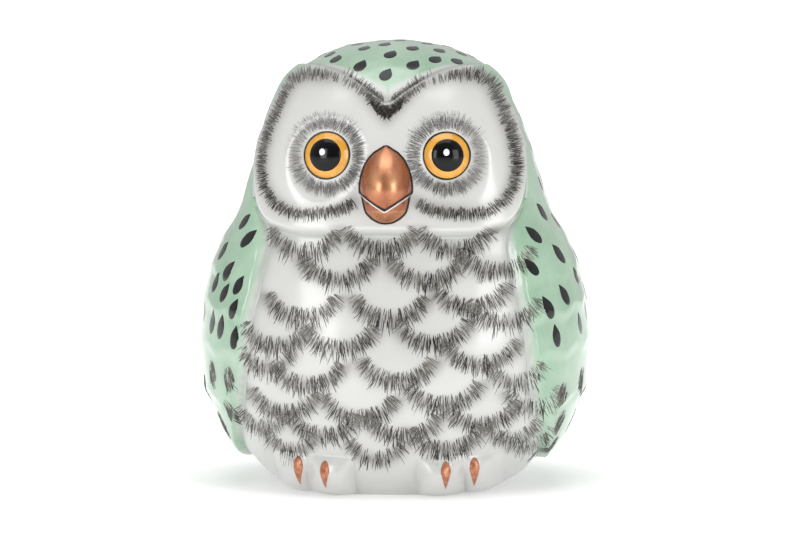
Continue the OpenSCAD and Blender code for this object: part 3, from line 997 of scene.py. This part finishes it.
class Stamps(Paint):
    """Shapes that lie on the ceramic as thin domes."""

    def add(self, centre, normal, up, outline, lift=0.16, dome=0.0, tone=0.0, rings=3):
        """The outline is [right, up] in millimetres about the centre, anticlockwise from outside."""
        sink = 0.3
        right = unit(np.cross(up, normal))
        up = np.cross(normal, right)
        base, count = len(self.verts), len(outline)
        layers = [(share, True) for share in np.linspace(0, 1, rings + 1)[1:]] + [(1.0, False)]
        found = onto_near(centre, normal)
        if found is None:
            return
        self.verts += [found[0] + found[1] * (lift + dome), found[0] - normal * sink]
        self.normals += [found[1], -normal]
        for share, on_top in layers:
            for a, b in outline:
                found = onto_near(centre + right * a * share + up * b * share, normal)
                if found is None:
                    found = (centre + right * a * share + up * b * share, normal)
                point, out = found
                if on_top:
                    self.verts.append(point + out * (lift * (1 - share**8) + dome * (1 - share**2)))
                    tilt = (0.05 + 0.25 * (share == 1)) * share * (dome + 0.15)
                    self.normals.append(unit(out + (right * a + up * b) * tilt))
                else:
                    self.verts.append(point - out * sink)
                    self.normals.append(-normal)
        self.tones += [tone] * (len(self.verts) - base)
        first, last = base + 2, base + 2 + rings * count
        for k in range(count):
            n = (k + 1) % count
            self.faces.append([base, first + k, first + n])
            for low in range(first, last, count):
                self.faces.append([low + k, low + count + k, low + count + n, low + n])
            self.faces.append([base + 1, last + n, last + k])


def leaf(length, width):
    """A leaf outline, pointed at the top and round at the bottom."""
    points = []
    for a in circle(22):
        up_ = math.cos(a)
        narrow = 1 - 0.62 * max(up_, 0) ** 1.6 - 0.12 * up_
        points.append((-math.sin(a) * width / 2 * narrow, up_ * length / 2))
    return points


def round_at(turn_deg, z):
    """The ceramic's surface at a turn from the front and a height, with its normal."""
    a = math.radians(turn_deg)
    out = np.array([math.sin(a), -math.cos(a), 0])
    return onto(out * 140 + [0, 0, z], -out)


# Dark spots on the wings and the back: turn from the front in degrees and height. A spot's tip
# leans forwards, and leans the more the higher it is.
LEFT_SPOTS = [(80, 115), (67, 105), (84, 102), (56, 98), (67, 91), (94, 87), (53, 86), (78, 81),
              (64, 76), (88, 74), (54, 72), (85, 67), (72, 63), (60, 60)]
RIGHT_SPOTS = [(59, 102), (54, 96), (67, 91), (58, 84), (51, 80), (68, 78), (59, 75), (53, 70),
               (75, 67), (65, 64), (58, 62), (51.5, 59)]
BACK_ROWS = (152, 140, 128, 116, 103, 90, 77, 64, 52, 40, 28)
BACK_SPOTS = [(turn_, z + 2 * (k % 2)) for row, z in enumerate(BACK_ROWS)
              for k, turn_ in enumerate(range((104 if z < 100 else 88) + 7 * (row % 2), 178, 14))
              if z > 44 or turn_ > 112]
SPOT_GAP = 6                             # at least this far from middle to middle
wing_spots, placed = Stamps(), []
for side, spots in ((1, LEFT_SPOTS + BACK_SPOTS), (-1, RIGHT_SPOTS + BACK_SPOTS)):
    for turn_, z in spots:
        if turn_ > 176 and side < 0:
            continue
        loose = 1 + (turn_ > 100)
        point, normal = round_at(side * turn_ + loose * rng.normal(0, 0.8),
                                 z + loose * rng.normal(0, 0.5))
        if abs(point[0]) < SLOT_HALF[0] + 6 and abs(point[2] - SLOT_Z) < 10 and point[1] > 0:
            continue
        if point[1] > 40 and abs(point[0]) < 24 and z < 56:
            continue
        if any(np.linalg.norm(point - other) < SPOT_GAP for other in placed):
            continue
        placed.append(point)
        lean = math.radians(np.interp(z, [58, 75, 100], [8, 32, 46])) * np.interp(turn_, [90, 130], [1, 0.15])
        forwards = unit(np.cross(normal, [0, 0, 1])) * side
        upright = unit(np.cross(unit(np.cross([0, 0, 1], normal)), normal) * -1)
        up = upright * math.cos(lean) + forwards * math.sin(lean) * np.sign(1e-9 - forwards[1])
        size = rng.uniform(0.92, 1.1)
        wing_spots.add(point, normal, up, leaf(9.2 * size, 4.9 * size), tone=rng.random())
CROWN_SPOTS = [(-21, -23), (-11, -32), (-10.5, -18), (-1, -37), (0, -26), (9, -32), (8, -19), (17, -26),
               (18, -16), (25, -21), (-3, -14), (-24, -14), (-14, -6), (2, -4), (13, -5), (26, -8),
               (-6, 5), (9, 7), (20, 5), (-18, 5), (-28, -3), (-11, 16), (3, 17), (16, 17), (-22, 15),
               (29, 5), (26, 16), (-30, 8), (-5, 27), (9, 28), (21, 26), (-17, 26)]
crown_spots = Stamps()
for x, y in CROWN_SPOTS:
    found = onto((x, y, 200), (0, 0, -1))
    if found is None:
        continue
    point, normal = found
    up = unit(np.array([0.35, 1, 0]) - normal * np.dot([0.35, 1, 0], normal))
    crown_spots.add(point, normal, up, leaf(7.2 * rng.uniform(0.9, 1.1), 4.8), tone=rng.random())
place(wing_spots.make("wing_spots"), glaze_black, "glaze_black")
place(crown_spots.make("crown_spots"), glaze_black, "glaze_black")

# Hatched patches low on the wings.
hatching = Strokes()
for side, patches in HATCHED.items():
    for turn_, z in patches:
        for _ in range(60):
            a, r = rng.uniform(0, 2 * math.pi), math.sqrt(rng.random())
            found = round_at(side * (turn_ + 2.6 * r * math.cos(a)), z + 4.2 * r * math.sin(a))
            if found is None:
                continue
            point, normal = found
            across = unit(np.cross(normal, [0, 0, 1]))
            down = unit(np.cross(across, normal) * -1)
            if down[2] > 0:
                down = -down
            go = unit(down * 0.9 + across * side * 0.35 + across * rng.normal(0, 0.15))
            length = rng.uniform(2.2, 3.8)
            path = [onto_near(point + go * length * t, normal) for t in (0, 0.25, 0.5, 0.75, 1)]
            if any(p is None for p in path):
                continue
            hatching.add(path, rng.uniform(0.45, 0.8), np.clip(rng.normal(0.15, 0.15), 0, 0.8))
place(hatching.make("wing_hatching"), brush_ink, "glaze_black")

# ---- eyes --------------------------------------------------------------------
PUPIL_R, PUPIL_DOME = 6.1, 0.3
SEAM_R = PUPIL_R - 0.35                  # the iris starts under the pupil's edge
DOT_R, DOT_H = 1.15, 0.42                # the white dot on a pupil, a painted highlight
rim_depth = math.sqrt(BALL_R**2 - EYE_R**2)


def ball(r):
    """Height of the eyeball over its rim at a distance from the eye's axis."""
    return math.sqrt(BALL_R**2 - r * r) - rim_depth


def set_in(points, middle, look, right, up):
    """Points about an eye's own axes put into place."""
    return middle + points[:, :1] * right + points[:, 1:2] * up + points[:, 2:3] * look


def tube_ring(radius, thick, height, wobble):
    """A slightly uneven painted ring about an eye's axis."""
    turns, sides = 96, 10
    verts_ = []
    for a in circle(turns):
        r = radius * (1 + wobble * math.sin(2 * a + 0.6) + 0.5 * wobble * math.sin(3 * a))
        w = thick * (1 + 0.25 * math.sin(3 * a + 1))
        for b in circle(sides):
            out = r + w * math.cos(b)
            verts_.append((out * math.cos(a), out * math.sin(a), height + thick * math.sin(b)))
    return np.array(verts_), tube_faces(turns, sides, closed=True)


for name, side in (("left", 1), ("right", -1)):
    axes = eye_frame(side)
    iris_line = [(SEAM_R, ball(SEAM_R) - 0.15)]
    iris_line += [(r, ball(r)) for r in np.linspace(PUPIL_R - 0.3, EYE_R - 0.25, 9)]
    iris_line += [(EYE_R - 0.05, ball(EYE_R - 0.25) - 0.2), (EYE_R, -SEAT_T), (SEAM_R, -SEAT_T)]
    v, f = lathe(iris_line[::-1])
    iris = add_mesh(name + "_iris_piece", set_in(v, *axes), f, sharp=50)
    place(iris, glaze_amber, "glaze_amber", name + "_iris")
    pupil_line = [(0, ball(0) + PUPIL_DOME)]
    pupil_line += [(r, ball(r) + PUPIL_DOME * (1 - (r / PUPIL_R) ** 8))
                   for r in np.linspace(0.7, PUPIL_R, 14)]
    pupil_line += [(PUPIL_R, -0.8), (0, -0.8)]
    v, f = lathe(pupil_line[::-1], close=False)
    pupil = add_mesh(name + "_pupil_piece", set_in(v, *axes), f, sharp=50)
    place(pupil, glaze_pupil, "glaze_black", name + "_pupil")
    v, f = tube_ring(EYE_R + 0.1, 0.33, 0.05, 0.006)
    place(add_mesh(name + "_eye_line", set_in(v, *axes), f), glaze_black, "glaze_black")
    # The white dot on the pupil is a painted highlight.
    dot = [(0, DOT_H)] + [(r, DOT_H - 0.3 * (r / DOT_R) ** 4) for r in np.linspace(0.3, DOT_R, 4)]
    dot += [(DOT_R, -0.4), (0, -0.4)]
    v, f = lathe(dot[::-1], 24, close=False)
    v = v * [1, 1.15, 1] + [-0.7, 1.0, ball(1.2) + PUPIL_DOME - 0.12]
    place(add_mesh(name + "_eye_catchlight", set_in(v, *axes), f, sharp=50), glaze_highlight, "glaze_white")

# ---- beak --------------------------------------------------------------------
BEAK_BACK = -46.0
BEAK_MIDDLE_Z = 117
LIP_GAP = 0.15
LOWER_W, LOWER_P = 0.94, 0.93            # the lower half's width and reach as shares of the upper's
# sections from the bottom up: height, half width, reach
BEAK = np.array([
    [102.6, 3.0, 8.0], [103.4, 5.6, 10.4], [104.9, 7.6, 12.6], [107.0, 9.2, 14.8], [110.0, 9.8, 16.6],
    [113.5, 10.3, 17.8], [116.5, 10.5, 18.0], [120.0, 10.1, 17.0], [123.6, 9.2, 14.8],
    [126.8, 7.9, 12.2], [129.2, 6.0, 10.0], [130.8, 3.4, 8.3], [131.6, 1.4, 7.6],
])


def beak_at(z):
    """Half width and reach of the beak at a height, through its sections smoothly."""
    k = np.interp(z, BEAK[:, 0], np.arange(len(BEAK)))
    i = np.clip(np.floor(k).astype(int), 0, len(BEAK) - 2)
    t = (k - i)[..., None]
    p = np.vstack([2 * BEAK[0] - BEAK[1], BEAK, 2 * BEAK[-1] - BEAK[-2]])
    v = curve(*(p[i + m] for m in range(4)), t)
    return v[..., 1], v[..., 2]


def lip_z(x):
    """Height of the lip line, a V with a blunt point."""
    x = np.sqrt(np.asarray(x, float) ** 2 + 0.15)
    return np.interp(x, [0, 10.5, 20], [108.0, 114.8, 117.5])


def edge_round(away, radius):
    """How far a rounded edge falls back at a distance from the edge."""
    return radius * (1 - np.sqrt(1 - np.clip(1 - away / radius, 0, 1) ** 2))


def beak_part(name, upper):
    """One half of the beak, its front rounded off towards the lip line and its back flat."""
    cols_, rows_ = 49, 30
    phi = np.linspace(-math.pi / 2, math.pi / 2, cols_)
    lip = np.full(cols_, 114.0)
    for _ in range(30):
        w, _ = beak_at(lip)
        lip = lip_z(w * np.sin(phi))
    verts_ = []
    for r in range(rows_):
        t = r / (rows_ - 1)
        if upper:
            z = lip + (BEAK[-1, 0] - lip) * (0.55 * t + 0.45 * t**1.6)
            w, p = beak_at(z)
            w, p = w - 0.4 * edge_round(z - lip, 1.0), p - edge_round(z - lip, 1.0)
        else:
            z = BEAK[0, 0] + (lip - LIP_GAP - BEAK[0, 0]) * t
            w, p = beak_at(z)
            w, p = LOWER_W * w, LOWER_P * p - edge_round(lip - LIP_GAP - z, 0.9)
        verts_.append(np.stack([w * np.sin(phi), BEAK_BACK - p * np.maximum(np.cos(phi), 0) ** 0.85, z], -1))
    verts_ = np.concatenate(verts_)
    faces_ = [face[::-1] for face in tube_faces(rows_, cols_)]
    x_, z_ = verts_[:, 0], verts_[:, 2]
    # Painted highlights: lighter beside the beak's ridge and near its top, and a little lighter on its lowest
    # part.
    beak_highlight = 0.8 * np.exp(-((np.abs(x_) - 3.0) / 2.2) ** 2 - ((z_ - 119) / 4.5) ** 2)
    beak_highlight = np.maximum(beak_highlight, 0.7 * np.exp(-(x_ / 3.2) ** 2 - ((z_ - 126) / 3.0) ** 2))
    beak_highlight = np.maximum(beak_highlight, 0.25 * (z_ < 108))
    place(add_mesh(name + "_piece", verts_, faces_, sharp=70, fields={"beak_highlight": beak_highlight}), lustre_copper,
          "lustre_copper", name)


beak_part("upper_beak", True)
beak_part("lower_beak", False)


def tube(name, points, radius, material, slot_, closed=False):
    """A thin line through points, as a tube with narrowed ends."""
    sides = 8
    p = np.array(points, float)
    ahead = unit(np.roll(p, -1, 0) - np.roll(p, 1, 0)) if closed else unit(np.gradient(p, axis=0))
    verts_ = []
    for k, (at, go) in enumerate(zip(p, ahead)):
        side_ = unit(np.cross(go, [0, -1, 0.02]))
        up_ = np.cross(side_, go)
        r = radius if closed else radius * (0.35 + 0.65 * min(1, min(k, len(p) - 1 - k) / 3))
        verts_ += [at + r * (side_ * math.cos(b) + up_ * math.sin(b)) for b in circle(sides)]
    place(add_mesh(name, verts_, tube_faces(len(p), sides, closed)), material, slot_)


def beak_depth(x, z):
    """The beak's front face at x and z, or None beside it."""
    if not BEAK[0, 0] <= z <= BEAK[-1, 0]:
        return None
    w, p = (float(v) for v in beak_at(np.array(z)))
    if z < lip_z(x):
        w, p = LOWER_W * w, LOWER_P * p
    return None if abs(x) >= w else BEAK_BACK - p * math.cos(math.asin(x / w)) ** 0.85


outline = []
for a in circle(120):
    near, far = 0.0, 25.0
    for _ in range(30):
        r = (near + far) / 2
        x, z = r * math.sin(a), BEAK_MIDDLE_Z + r * math.cos(a)
        depth = beak_depth(x, z)
        if depth is not None and depth < onto_front(x, z)[0][1]:
            near = r
        else:
            far = r
    x, z = (near + 0.15) * math.sin(a), BEAK_MIDDLE_Z + (near + 0.15) * math.cos(a)
    outline.append(onto_front(x, z)[0])
LINE_R = 0.34
tube("beak_line", outline, LINE_R, glaze_black, "glaze_black", closed=True)
lip_line = []
for x in np.linspace(-10.0, 10.0, 61):
    z = float(lip_z(x)) + 0.05
    depth = beak_depth(x, z + 0.9)
    if depth is not None:
        lip_line.append((x, depth + 0.75, z))
tube("lip_line", lip_line, LINE_R, glaze_black, "glaze_black")
# A pale line just under the lip line: a painted highlight along the lower beak's edge.
lip_highlight_line = [(x * 0.97, y + 0.35, z - 0.75) for x, y, z in lip_line[2:-2]]
tube("lip_shine", lip_highlight_line, 0.3, glaze_highlight, "glaze_white")

# ---- claws and stopper -------------------------------------------------------
claws = Stamps()
for side in (1, -1):
    for x, low_z, high_z in ((22.7, 4.0, 14.4), (33.1, 4.4, 15.3)):
        middle = (low_z + high_z) / 2
        found = onto_front(side * x, middle)
        shape = []
        for a in circle(28):
            up_ = math.cos(a)
            narrow = 1 if up_ > 0.25 else max(0.12, 1 - 0.72 * ((0.25 - up_) / 1.25) ** 0.8)
            half = 2.05 * math.sin(a) * narrow
            shape.append((-half, up_ * (high_z - low_z) / 2))
        normal = unit(np.array([side * 0.08, -1, 0.12]))
        claws.add(found[0], normal, np.array([0.0, 0, 1]), shape, 0.25, 0.75, rings=6)
place(claws.make("claws_piece"), claw_copper, "lustre_copper", "claws")

stopper_low, stopper_high = cad_box("stopper")
FLANGE_R = (stopper_high[0] - stopper_low[0]) / 2
flange = [(0, 2.4), (15.2, 2.4), (17.6, 2.2), (FLANGE_R - 0.5, 2.2), (FLANGE_R, 2.7), (FLANGE_R, 3.9),
          (FLANGE_R - 0.5, 4.4), (17.25, 4.4), (16.95, 4.8), (16.95, 8.6), (17.0, 9.8), (16.6, 11.9),
          (16.0, 12.5), (15.0, 12.5), (14.6, 12.0), (14.6, 5.2), (14.0, 4.6), (0, 4.6)]
v, f = lathe(flange, 96, close=False)
v[:, 1] -= MIDDLE_Y
TAB_SIDES = 24
tab = []                                  # the pull tab, from the flange down
for w, t, z in ((6.0, 1.0, 2.6), (6.0, 1.0, 1.5), (5.6, 0.9, 1.0), (4.8, 0.6, 0.8)):
    for a in circle(TAB_SIDES):
        c, s_ = math.cos(a), math.sin(a)
        tab.append((w * np.sign(c) * abs(c) ** 0.5, t * np.sign(s_) * abs(s_) ** 0.5 - MIDDLE_Y, z))
f += [[len(v) + i for i in face] for face in tube_faces(4, TAB_SIDES)]
place(add_mesh("stopper_piece", np.vstack([v, tab]), f, sharp=40), stopper_rubber, "stopper_rubber",
      "stopper", body="stopper")

# ---- camera, light and floor -------------------------------------------------
scene = bpy.context.scene
scene.view_settings.view_transform = "Standard"
TARGET = Vector((0.0016, 0, 0.0823))


def stand(obj, azimuth, elevation, distance):
    """Puts a camera or light at degrees from the front and above the floor, aimed at the owl."""
    scene.collection.objects.link(obj)
    a, e = math.radians(azimuth), math.radians(elevation)
    obj.location = TARGET + distance * Vector((math.sin(a) * math.cos(e), -math.cos(a) * math.cos(e),
                                               math.sin(e)))
    obj.rotation_euler = (TARGET - obj.location).to_track_quat("-Z", "Y").to_euler()


camera = bpy.data.objects.new("camera", bpy.data.cameras.new("camera"))
camera.data.lens = 186.5
camera.data.sensor_width = 36
stand(camera, 3.8, 4.5, 1.6)
scene.camera = camera


def softbox(name, azimuth, elevation, distance, size, power):
    light = bpy.data.lights.new(name, "AREA")
    light.shape = "RECTANGLE"
    light.size, light.size_y = size
    light.energy = power
    stand(bpy.data.objects.new(name, light), azimuth, elevation, distance)


softbox("key_left", -32, 14, 1.0, (0.36, 0.50), 2.7)
softbox("key_right", 50, 12, 1.0, (0.36, 0.50), 2.3)
softbox("top", 0, 80, 0.9, (0.8, 0.6), 2.8)

# A white tent that is brighter above and behind than in front.
world = bpy.data.worlds.new("studio")
world.use_nodes = True
scene.world = world
nodes, links = world.node_tree.nodes, world.node_tree.links
direction = nodes.new("ShaderNodeSeparateXYZ")
links.new(nodes.new("ShaderNodeTexCoord").outputs["Generated"], direction.inputs[0])


def range_of(socket, from_low, from_high, to_low, to_high):
    made = nodes.new("ShaderNodeMapRange")
    made.interpolation_type = "SMOOTHSTEP"
    links.new(socket, made.inputs["Value"])
    limits = {"From Min": from_low, "From Max": from_high, "To Min": to_low, "To Max": to_high}
    for key, value in limits.items():
        made.inputs[key].default_value = value
    return made.outputs[0]


both = nodes.new("ShaderNodeMath")      # the brightness by height times the brightness by depth
both.operation = "MULTIPLY"
links.new(range_of(direction.outputs["Z"], -0.3, 0.9, 0.75, 1.05), both.inputs[0])
links.new(range_of(direction.outputs["Y"], -1.0, 0.1, 0.25, 0.66), both.inputs[1])
links.new(both.outputs[0], nodes["Background"].inputs["Strength"])
nodes["Background"].inputs["Color"].default_value = (1, 1, 1, 1)

bpy.ops.mesh.primitive_plane_add(size=60, location=(0, 0, 0))
floor = bpy.context.object
floor.name = "floor"
s = Shader("floor")
here = s.node("TexCoord").outputs["Object"]
away_from_owl = s.node("VectorMath", {0: here}, operation="LENGTH").outputs["Value"]
# Painted light: the floor glows, less near the owl and more farther off. It reads white and lights the owl's
# underside only a little.
s.set(Base_Color=(0.86, 0.86, 0.86, 1), Roughness=0.9, Specular_IOR_Level=0.1,
      Emission_Color=(1, 1, 1, 1), Emission_Strength=s.remap(away_from_owl, 0.06, 0.15, 0.28, 0.70))
floor.data.materials.append(s.material)
